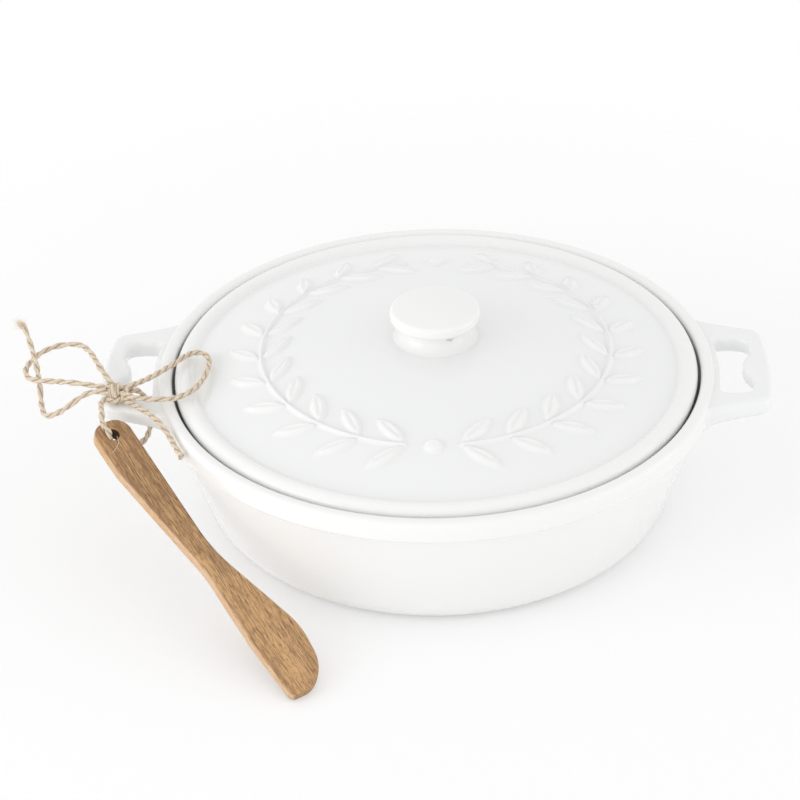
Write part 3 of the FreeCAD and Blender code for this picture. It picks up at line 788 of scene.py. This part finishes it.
@dataclass
class StringBow:
    """One length of jute string round the handle's bar and through the spreader, in a bow.

    Attributes:
        strands: The routes of the knot's strands, from its centre: below, through and beside.
        stray: The route of the one fibre that hangs over the spreader's face.
    """

    finishes: Finishes
    diameter: float = 2.2
    section: PlySection = field(default_factory=PlySection)
    knot_centre: tuple = (-107.4, -19.8, 52.7)
    wrap_section: PlySection = PlySection(off=0.34, radius=0.6)
    wrap_half: tuple = (2.9, 1.9)
    wrap_start: float = 262.0
    wrap_turns: float = 2.04
    wrap_advance: float = 2.9
    wrap_sway: float = 0.35
    wrap_pitch: float = 13.0
    strand_pitches: tuple = (6.6, 7.0, 7.0)
    strands: tuple = (
        (
            (-2.9, -2.1, -1.6), (-1.6, -4.1, -1.4), (1.6, -4.6, -1.2),
            (3.3, -2.4, 0.2), (3.9, -0.2, 0.8),
        ),
        ((-3.0, 2.6, 0.7), (-1.2, 1.4, 0.3), (1.2, 0.4, 0.3), (3.4, 0.6, 0.9)),
        ((-3.2, -1.0, 0.3), (-1.0, -1.5, 0.1), (1.4, -1.6, 0.1), (3.2, -1.9, 0.3)),
    )
    frays: tuple = (
        Fray("jute_fray_left", "string_tail_left", -9, 300, 3.8, 0.26, (-0.36, -0.14, 0.0)),
        Fray("jute_fray_right", "string_tail_right", -4, 110, 1.7, 0.45, (0.2, 0.0, 0.0)),
        Fray("jute_fray_hole", "string_tie", 50, 70, 2.4, 0.5, (-0.5, -0.1, 0.1)),
    )
    fray_radius: float = 0.05
    fray_scatter: float = 0.36
    fray_bend: float = 0.24
    fray_shortest: float = 0.65
    loose_fibres: int = 420
    loose_radius: float = 0.032
    loose_length: tuple = (0.6, 2.4)
    loose_bend: float = 0.25
    loose_root: float = 0.75
    loose_way: tuple = (0.75, 0.6)
    stray: tuple = (
        (-105.4, -37.5, 46.3), (-104.6, -38.9, 45.6), (-104.8, -41.5, 44.6), (-106.4, -43.3, 43.7),
    )
    stray_section: PlySection = PlySection(off=0.03, radius=0.07, around=8, step=0.4)
    stray_pitch: float = 5.0
    seed: int = 4

    def make(self) -> None:
        """Makes the stretches, the knot, the frayed ends and the loose fibres."""
        self.random = np.random.default_rng(self.seed)
        lines = {stretch.node: self.stretch(stretch) for stretch in STRETCHES}
        self.knot()
        self.ends(lines)
        self.fuzz(lines)

    def stretch(self, stretch: Stretch) -> np.ndarray:
        """Makes one stretch and gives back the line that it follows."""
        line = evenly(drawn(stretch.node, stretch.route), self.section.step)
        skin = self.section.skin(line, stretch.pitch, stretch.fray)
        name = stretch.node.replace("string", "jute")
        cord = piece(name, [skin], self.finishes.jute, stretch.node)
        return line

    def knot(self) -> None:
        """Makes the knot: a wrap round the crossing strands, which show below and beside it."""
        centre, (wide, high) = np.array(self.knot_centre), self.wrap_half
        share = np.linspace(0, 1, 90)
        angle = math.radians(self.wrap_start) + 2 * math.pi * self.wrap_turns * share
        advance = self.wrap_advance * (share - 0.5) + self.wrap_sway * np.cos(angle)
        wrap = centre + np.stack([advance, wide * np.cos(angle), high * np.sin(angle)], -1)
        step = self.section.step
        skins = [self.wrap_section.skin(evenly(wrap, step), self.wrap_pitch)]
        for pitch, route in zip(self.strand_pitches, self.strands):
            line = drawn("knot_strand", centre + np.array(route))
            skins.append(self.section.skin(evenly(line, step), pitch))
        piece("jute_knot", skins, self.finishes.jute, "string_knot")

    def spread(self, count: int, way: np.ndarray, wide: float) -> np.ndarray:
        """Directions scattered about one direction."""
        ways = way + self.random.normal(0, wide, (count, 3))
        return ways / np.linalg.norm(ways, axis=1)[:, None]

    def ends(self, lines: dict[str, np.ndarray]) -> None:
        """Makes the fibres that fan out of the two cut ends and by the spreader's hole."""
        for fray in self.frays:
            line, start, count = lines[fray.node], fray.start, fray.count
            way = line[start + 2] - line[start]
            way /= np.linalg.norm(way)
            roots = line[start] + self.random.normal(0, self.fray_scatter, (count, 3))
            ways = self.spread(count, way, fray.wide)
            bends = self.random.normal(0, self.fray_bend, (count, 3)) + np.array(fray.lean)
            lengths = fray.length * self.random.uniform(self.fray_shortest, 1.0, count)
            skins = hair(roots, ways, bends, lengths, self.fray_radius)
            piece(fray.name, skins, self.finishes.lit_fluff)

    def fuzz(self, lines: dict[str, np.ndarray]) -> None:
        """Makes the loose fibres along the string, and the one on the spreader's face."""
        line = np.concatenate(list(lines.values()))
        way = np.gradient(line, axis=0)
        way /= np.linalg.norm(way, axis=1)[:, None]
        count, (ahead, aside) = self.loose_fibres, self.loose_way
        picked = self.random.choice(len(line), count, replace=False)
        out = self.random.normal(0, 1, (count, 3))
        out -= way[picked] * np.sum(out * way[picked], 1)[:, None]
        out /= np.linalg.norm(out, axis=1)[:, None]
        roots = line[picked] + self.loose_root * out
        ways = ahead * way[picked] + aside * out
        bends = self.random.normal(0, self.loose_bend, (count, 3))
        lengths = self.random.uniform(*self.loose_length, count)
        skins = hair(roots, ways, bends, lengths, self.loose_radius)
        stray = evenly(drawn("stray_fibre", self.stray), self.stray_section.step)
        skins.append(self.stray_section.skin(stray, self.stray_pitch))
        piece("jute_loose_fibres", skins, self.finishes.lit_fluff)


# ---- Dish ----


@dataclass(frozen=True)
class DishSizes:
    """The dish's section and the plan of its handles, in millimetres."""

    rim: float = 95.0
    height: float = 50.7
    rim_width: float = 4.9
    collar_low: float = 42.6
    wall_top: float = 92.2
    base: float = 78.8
    ledge: float = 44.5
    ledge_width: float = 6.1
    floor: float = 6.0
    floor_radius: float = 75.0
    base_rounding: float = 8.3
    floor_rounding: float = 10.0
    lug_top: float = 49.3
    lug_thickness: float = 6.8
    lug_corner: tuple = (112.4, 22.7)
    lug_web: float = 1.8
    lug_sunk: float = 2.6
    lug_bow: float = 1.78
    lug_edge_out: float = 2.7
    lug_edge_in: float = 2.4
    lift_above: float = 0.1
    lift_below: float = 1.3
    lift_fade: float = 1.3
    grip_x: float = 107.5
    grip_half: float = 17.0
    bump_half: float = 7.8
    bump_reach: float = 4.8
    columns: int = 480


@dataclass
class Dish:
    """The turned bowl and its two pierced lug handles."""

    finishes: Finishes
    sizes: DishSizes

    def make(self) -> None:
        """Makes the bowl and both handles."""
        right = self.lug()
        for name, skin in (
            ("glazed_bowl", self.bowl()),
            ("glazed_lug_right", loft(right, endless=True)),
            ("glazed_lug_left", loft(right * np.array([-1.0, 1.0, 1.0]), endless=True)),
        ):
            piece(name, [skin], self.finishes.glaze, "dish")

    def bowl(self) -> Skin:
        """The bowl: its section, from under the middle out and round, turned."""
        s = self.sizes
        inner = s.rim - s.rim_width
        section = rounded(
            [
                (AXIS_GAP, 0.0, 0),
                (s.base, 0.0, s.base_rounding),
                (s.wall_top, s.collar_low, 1.3),
                (s.rim, s.collar_low, 1.7),
                (s.rim, s.height, 2.2),
                (inner, s.height, 2.3),
                (inner, s.ledge, 0.8),
                (inner - s.ledge_width, s.ledge, 1.2),
                (s.floor_radius, s.floor, s.floor_rounding),
                (AXIS_GAP, s.floor, 0),
            ],
            bend=9,
            step=3.0,
        )
        return loft(turned(section, s.columns), np.ones((len(section), s.columns)))

    def lug(self) -> np.ndarray:
        """The right handle as rings: a rounded slab between its outer and its inner line.

        The two lines have the same corners, so their points pair up. Each ring runs round
        the slab between a pair, and near the collar it spreads up and down to flow into it.
        The lines close behind the collar, so a web of the slab runs along it too.
        """
        s = self.sizes
        x, y = s.lug_corner
        half, bump = s.grip_half, s.bump_half
        deep, web = s.rim - s.lug_sunk, s.rim + s.lug_web

        def at(radius: float, degrees: float) -> tuple[float, float]:
            turn = math.radians(degrees)
            return radius * math.cos(turn), radius * math.sin(turn)

        def bowed(across: float) -> float:
            return x + s.lug_bow * (1 - (across / y) ** 2)

        outer = [
            (*at(deep, 0.0), 0), (*at(deep, 10.5), 60.0), (*at(s.rim - 1.3, 22.0), 0.3),
            (*at(s.rim - 0.4, 18.3), 6.0), (x, y, 5.0), (bowed(9.0), 9.0, 60.0),
        ]
        inner = [
            (*at(web, 0.0), 0), (*at(web, 3.4), 60.0), (*at(web, 6.8), 60.0),
            (math.sqrt(web**2 - half**2), half, 3.0), (s.grip_x, half, 4.4), (s.grip_x, bump, 3.6),
        ]
        outer_line = mirrored(outer, (bowed(0.0), 60.0))
        inner_line = mirrored(inner, (s.grip_x - s.bump_reach, 11.0))
        return self.slab(outer_line[:-1], inner_line[:-1])

    def slab(self, outer: np.ndarray, inner: np.ndarray) -> np.ndarray:
        """The rings between two lines that pair up."""
        s = self.sizes
        half = s.lug_thickness / 2
        gap = np.linalg.norm(outer - inner, axis=1)
        shape = np.array([self.box(wide, half) for wide in gap / 2])
        way = (outer - inner) / gap[:, None]
        plan = (outer + inner)[:, None, :] / 2 + shape[..., :1] * way[:, None, :]
        up = shape[..., 1]
        beyond = np.maximum(np.linalg.norm(plan, axis=-1) - s.rim, 0.0)
        lift = np.where(up > 0, s.lift_above, s.lift_below) * np.sign(up)
        level = s.lug_top - half + up + lift * np.exp(-beyond / s.lift_fade)
        return np.concatenate([plan, level[..., None]], -1)

    def box(self, wide: float, half: float) -> np.ndarray:
        """The slab's section at one place: from its half width and half thickness."""
        s = self.sizes
        out, back = (min(edge, wide * 0.9) for edge in (s.lug_edge_out, s.lug_edge_in))
        corners = [
            (0.0, -half, 0), (wide, -half, out), (wide, half, out),
            (-wide, half, back), (-wide, -half, back), (0.0, -half, 0),
        ]
        return rounded(corners, bend=6, step=50.0)[:-1]


def mirrored(half: list, middle: tuple[float, float]) -> np.ndarray:
    """A line through half its corners, its middle corner (x, radius) and the mirrored half."""
    back = [(x, -y, radius) for x, y, radius in reversed(half)]
    return rounded([*half, (middle[0], 0.0, middle[1]), *back], bend=9, run=7)


# ---- Lid ----


@dataclass(frozen=True)
class WreathSizes:
    """The wreath in relief on the lid, in millimetres and degrees."""

    radius: float = 59.5
    stem_half: float = 0.9
    root_off: float = 0.5
    reach: float = 10.6
    forward: float = 11.2
    bow: float = 12.6
    pairs: int = 11
    first: float = -81.0
    apart: float = 15.0
    stem_end: float = 79.0
    berry: float = 3.1
    relief: float = 1.4
    edge_out: float = 0.45
    edge_width: float = 1.75
    vein: float = 0.3
    vein_width: float = 0.5

    def rise(self, x: np.ndarray, y: np.ndarray) -> np.ndarray:
        """How high the wreath stands at a place of the plan, as a share of its relief.

        Each leaf is where two discs overlap, so the depth inside it is the disc's radius
        less the distance to the further centre. The stem and berries have the same kind of
        depth, the deepest wins, and a soft step turns it into height.
        """
        x = np.abs(x)
        polar, turn = np.hypot(x, y), np.degrees(np.arctan2(y, x))
        past = np.maximum(np.maximum(self.first - turn, turn - self.stem_end), 0)
        stem = self.stem_half - np.hypot(polar - self.radius, np.radians(past) * self.radius)
        berry = self.berry - np.hypot(x, np.abs(y) - self.radius)
        depth = np.maximum(stem, berry)
        vein = np.zeros_like(x)
        for pair in range(self.pairs):
            lean = math.radians(self.first + self.apart * pair)
            out = x * math.cos(lean) + y * math.sin(lean)
            ahead = -x * math.sin(lean) + y * math.cos(lean)
            for side in (1, -1):
                across = side * (out - self.radius) - self.root_off
                chord = math.hypot(self.reach, self.forward)
                along = (across * self.reach + ahead * self.forward) / chord
                off = (across * self.forward - ahead * self.reach) / chord
                centre = math.sqrt(self.bow**2 - chord**2 / 4)
                leaf = self.bow - np.hypot(along - chord / 2, np.abs(off) + centre)
                depth = np.maximum(depth, leaf)
                inside = smooth((leaf - 0.2) / 0.8) * smooth(along / 3)
                vein = np.maximum(vein, inside * np.exp(-((off / self.vein_width) ** 2)))
        return smooth((depth + self.edge_out) / self.edge_width) * (1 - self.vein * vein)


@dataclass(frozen=True)
class LidSizes:
    """The lid's section and its knob, in millimetres and degrees.

    Attributes:
        side_arc, crest_arc: From where to where the bead's side and crest run, and in how
            many points.
        rows: The rest of the upper side inwards, from, to and how many points. They are
            closest where the wreath stands.
        knob_root: The radius of the knob's foot and its lower and upper level there.
    """

    edge: float = 88.8
    bead: float = 3.45
    bead_at: tuple = (85.7, 48.486)
    apex: float = 62.0
    dome: float = 290.3
    groove_blend: float = 1.1
    ledge: float = 44.5
    under_apex: float = 57.0
    under_edge: tuple = (80.5, 45.8)
    side_arc: tuple = (-21.0, 18.0, 8)
    crest_arc: tuple = (24.0, 158.0, 30)
    crest_end: float = 82.9
    rows: tuple = ((82.8, 80.4, 9), (79.6, 74.4, 6), (73.6, 45.54, 62), (44.0, 13.0, 9))
    bead_from: float = 80.6
    bead_rise: float = 2.5
    hollow: float = 6.5
    hollow_top: float = 68.8
    knob_root: tuple = (17.5, 60.4, 61.44)
    knob_sunk: float = 59.9
    neck: float = 11.2
    neck_foot: float = 61.784
    neck_top: float = 67.5
    knob: float = 15.25
    knob_low: float = 68.4
    knob_high: float = 72.3
    knob_top: float = 73.8
    cap_edge: float = 13.0
    cap_bow: float = 78.27
    vent_radius: float = 1.45
    vent_level: float = 66.5
    vent_turn: float = -62.0
    vent_depth: float = 4.6
    vent_edge: float = 0.5
    columns: int = 650
    knob_columns: int = 256

    def top(self, across: np.ndarray) -> np.ndarray:
        """The lid's upper side: the higher of its dome and its bead, softly joined."""
        dome = self.apex - self.dome + np.sqrt(self.dome**2 - across**2)
        off = np.clip(self.bead**2 - (across - self.bead_at[0]) ** 2, 0, None)
        bead = np.where(off > 0, self.bead_at[1] + np.sqrt(off), -1e3)
        near = np.maximum(self.groove_blend - np.abs(dome - bead), 0) / self.groove_blend
        return np.maximum(dome, bead) + near**2 * self.groove_blend / 4


@dataclass
class Lid:
    """The lid: flange, bead, dome with its wreath, and the knob with its vent."""

    finishes: Finishes
    sizes: LidSizes = field(default_factory=LidSizes)
    wreath: WreathSizes = field(default_factory=WreathSizes)

    def make(self) -> None:
        """Makes the lid's shell and its knob."""
        for name, skin in (("glazed_lid", self.shell()), ("glazed_knob", self.knob())):
            piece(name, [skin], self.finishes.glaze, "lid")

    def shell(self) -> Skin:
        """The shell: a closed section that runs under the dome, round the flange and back."""
        s = self.sizes
        x, z = s.under_edge
        bend = (x**2 - s.hollow**2) / (2 * (s.under_apex - z))
        across = np.linspace(s.hollow, x, 12)
        under = np.stack([across, z + (x**2 - across**2) / (2 * bend)], -1)
        below = math.sqrt(s.bead**2 - (s.edge - s.bead_at[0]) ** 2)
        flange = rounded(
            [
                (x, z, 0),
                (x + 1.5, s.ledge, 0.9),
                (s.edge - 0.4, s.ledge, 0.9),
                (s.edge, s.bead_at[1] - below, 0.0),
            ],
            bend=5,
        )
        steep = np.radians(np.linspace(*s.side_arc))
        side = np.array(s.bead_at) + s.bead * np.stack([np.cos(steep), np.sin(steep)], -1)
        crest = s.bead_at[0] + s.bead * np.cos(np.radians(np.linspace(*s.crest_arc)))
        rows = [np.linspace(*row) for row in s.rows]
        outward = np.concatenate([crest[crest > s.crest_end], *rows])
        top = np.stack([outward, s.top(outward)], -1)
        dive = np.array([[9.0, 60.0], [s.hollow, 60.0]])
        section = np.concatenate([under, flange[1:], side, top, dive])
        rings = turned(section, s.columns)
        upper = np.zeros(len(section), bool)
        upper[-len(dive) - len(top) : -len(dive)] = True
        rise = np.zeros(rings.shape[:2])
        rise[upper] = self.wreath.rise(rings[upper][..., 0], rings[upper][..., 1])
        rings[..., 2] += rise * self.wreath.relief
        bead = smooth((section[:, 0] - s.bead_from) / s.bead_rise)[:, None] * np.ones(s.columns)
        return loft(rings, np.maximum(rise, bead), endless=True)

    def knob(self) -> Skin:
        """The hollow mushroom knob with its steam vent pressed into its neck."""
        s = self.sizes
        root, low, high = s.knob_root
        stem = rounded(
            [
                (AXIS_GAP, s.hollow_top, 0),
                (s.hollow, s.hollow_top, 2.0),
                (s.hollow, s.knob_sunk, 0),
                (root, low, 0),
                (root, high, 0),
                (s.neck, s.neck_foot, 4.0),
                (s.neck, s.neck_top, 1.2),
                (s.knob, s.knob_low, 1.7),
                (s.knob, s.knob_high, 1.7),
                (s.cap_edge, s.knob_top - s.cap_edge**2 / (2 * s.cap_bow), 0),
            ],
            bend=14,
            step=0.5,
        )
        across = np.linspace(12.4, 0.4, 14)
        cap = np.stack([across, s.knob_top - across**2 / (2 * s.cap_bow)], -1)
        section = np.concatenate([stem, cap])
        rings = turned(section, s.knob_columns)
        turn = np.linspace(0, 2 * math.pi, s.knob_columns, endpoint=False)
        off = np.degrees(turn) - (s.vent_turn % 360)
        beside = np.radians((off + 180) % 360 - 180) * s.neck
        level = section[:, 1:] - s.vent_level
        away = np.hypot(beside[None, :], level)
        outside = (np.abs(section[:, :1] - s.neck) < 2.2) & (section[:, 1:] < s.knob_low - 0.1)
        pit = s.vent_depth * smooth((s.vent_radius - away) / s.vent_edge) * outside
        polar = np.hypot(rings[..., 0], rings[..., 1])
        rings[..., :2] *= ((polar - pit) / polar)[..., None]
        return loft(rings, np.ones(rings.shape[:2]))


# ---- Studio ----


@dataclass(frozen=True)
class Viewpoint:
    """Where the camera stands and what it looks at, in millimetres and degrees.

    The camera looks at the aim from the distance, and is then turned a little aside so
    that the aim lies right of the picture's middle and below it.
    """

    aim: tuple = (0.0, 0.0, 30.0)
    distance: float = 900.0
    turn: float = 1.2
    elevation: float = 33.155
    roll: float = 1.123
    aside: float = 0.808
    below: float = 0.2856
    lens: float = 117.1
    clip: tuple = (0.05, 20.0)

    def place(self) -> None:
        """Makes the camera."""

        def turn(degrees: float, axis: str) -> Matrix:
            return Matrix.Rotation(math.radians(degrees), 4, axis)

        level = turn(self.turn, "Z") @ turn(90 - self.elevation, "X")
        spot = (Vector(self.aim) + level @ Vector((0, 0, self.distance))) * MM
        tilt = turn(-self.roll, "Z") @ turn(self.aside, "Y") @ turn(self.below, "X")
        camera = bpy.data.cameras.new("camera")
        camera.lens, (camera.clip_start, camera.clip_end) = self.lens, self.clip
        holder = linked("camera", camera)
        holder.matrix_world = Matrix.Translation(spot) @ level @ tilt
        bpy.context.scene.camera = holder
        log.info("camera at %s", tuple(round(part, 3) for part in spot))


@dataclass(frozen=True)
class SoftBox:
    """A square white studio lamp: where it stands, its side, its power and what it points at."""

    name: str
    spot: tuple
    side: float
    watts: float
    target: tuple = (0.0, 0.0, 0.03)

    def place(self) -> None:
        """Makes the lamp."""
        lamp = bpy.data.lights.new(self.name, "AREA")
        lamp.shape, lamp.size, lamp.energy = "SQUARE", self.side, self.watts
        holder = linked(self.name, lamp)
        holder.location = self.spot
        holder.rotation_mode = "QUATERNION"
        aim = Vector(self.target) - Vector(self.spot)
        holder.rotation_quaternion = aim.to_track_quat("-Z", "Y")


@dataclass(frozen=True)
class Studio:
    """A white table under soft boxes."""

    boxes: tuple = (
        SoftBox("left_box", (-1.2, -0.62, 0.35), 1.1, 5.6),
        SoftBox("right_box", (1.3, -0.25, 0.35), 1.1, 2.3),
        SoftBox("front_box", (0.0, -1.5, 0.4), 1.0, 0.6),
    )
    zenith: float = 0.88
    horizon: float = 1.01
    backdrop: float = 1.0
    table: tuple = (0.95, 0.95, 0.95)
    table_seen: tuple = (0.60, 0.60, 0.60)
    table_glow: tuple = (0.38, 0.38, 0.382)
    table_half: float = 2.0
    table_level: float = -0.3 * MM
    fade: tuple = (0.17, 0.36)

    def place(self) -> None:
        """Makes the lamps, the world and the table."""
        for box in self.boxes:
            box.place()
        self.world()
        self.floor()

    @staticmethod
    def seen(graph: Graph) -> Number:
        """1 where the camera, a reflection or glass looks, 0 where light is gathered."""
        path = graph.node("LightPath").outputs
        kinds = ("Camera", "Glossy", "Transmission")
        return sum(Number(graph, path[f"Is {kind} Ray"]) for kind in kinds).between(0, 1, "LINEAR")

    def world(self) -> None:
        """An even sky that lights the scene, and looks white where it is seen."""
        world = bpy.data.worlds.new("studio")
        bpy.context.scene.world = world
        graph = Graph(world)
        seen = self.seen(graph)
        aim = graph.node("TexCoord").outputs["Generated"]
        high = graph.dot(aim, UP).between(0.1, 0.9)
        ambient = graph.mix(high, (self.horizon,) * 3, (self.zenith,) * 3)
        tone = graph.mix(seen, ambient, (self.backdrop,) * 3)
        sky = graph.node("Background", {}, {"Color": tone})
        graph.node("OutputWorld", {}, {"Surface": sky.outputs[0]})

    def floor(self) -> None:
        """A matt table that keeps the shadow and fades into the white round the object."""
        half, level = self.table_half, self.table_level
        mesh = bpy.data.meshes.new("table")
        corners = [(-half, -half), (half, -half), (half, half), (-half, half)]
        mesh.from_pydata([(x, y, level) for x, y in corners], [], [(0, 1, 2, 3)])
        material = bpy.data.materials.new("table")
        graph = Graph(material)
        gone = graph.length(graph.place()).between(*self.fade)
        seen = self.seen(graph)
        matt = graph.node(
            "BsdfPrincipled",
            {},
            {
                "Base Color": graph.mix(seen, self.table, self.table_seen),
                "Roughness": 0.9,
                "Specular IOR Level": 0.0,
                "Emission Color": graph.mix(seen, (0.0, 0.0, 0.0), self.table_glow),
                "Emission Strength": 1.0,
            },
        )
        clear = graph.node("BsdfTransparent")
        both = graph.node("MixShader", {}, {0: gone, 1: matt.outputs[0], 2: clear.outputs[0]})
        graph.node("OutputMaterial", {}, {"Surface": both.outputs[0]})
        mesh.materials.append(material)
        linked("table", mesh)


def dress_spreader(nodes: dict, finishes: Finishes) -> None:
    """Gives the CAD's own spreader its wood."""
    spreader = nodes["spreader"]
    spreader.data.materials.clear()
    spreader.data.materials.append(finishes.wood)
    log.info("spreader: %d points of the packed model", len(spreader.data.vertices))


def main() -> None:
    """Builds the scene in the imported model's frame."""
    logging.basicConfig(level=logging.INFO, format="%(name)s: %(message)s")
    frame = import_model()
    Viewpoint().place()
    finishes = Finishes(
        glaze=Glaze().material("glaze"),
        wood=Wood().material("wood"),
        jute=Jute().material("jute"),
        # Painted light: the loose fibres get a paler copy of the jute, against the shade among
        # them.
        lit_fluff=Jute(pale=(0.95, 0.86, 0.74), warm=(0.88, 0.75, 0.6)).material("jute_fluff"),
    )
    StringBow(finishes).make()
    _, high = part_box("dish")
    sizes = replace(DishSizes(), rim=high.y / MM, height=high.z / MM)
    Dish(finishes, sizes).make()
    Lid(finishes).make()
    dress_spreader(frame["nodes"], finishes)
    Studio().place()
    bpy.context.scene.view_settings.view_transform = "Standard"


if __name__ == "__main__":
    main()
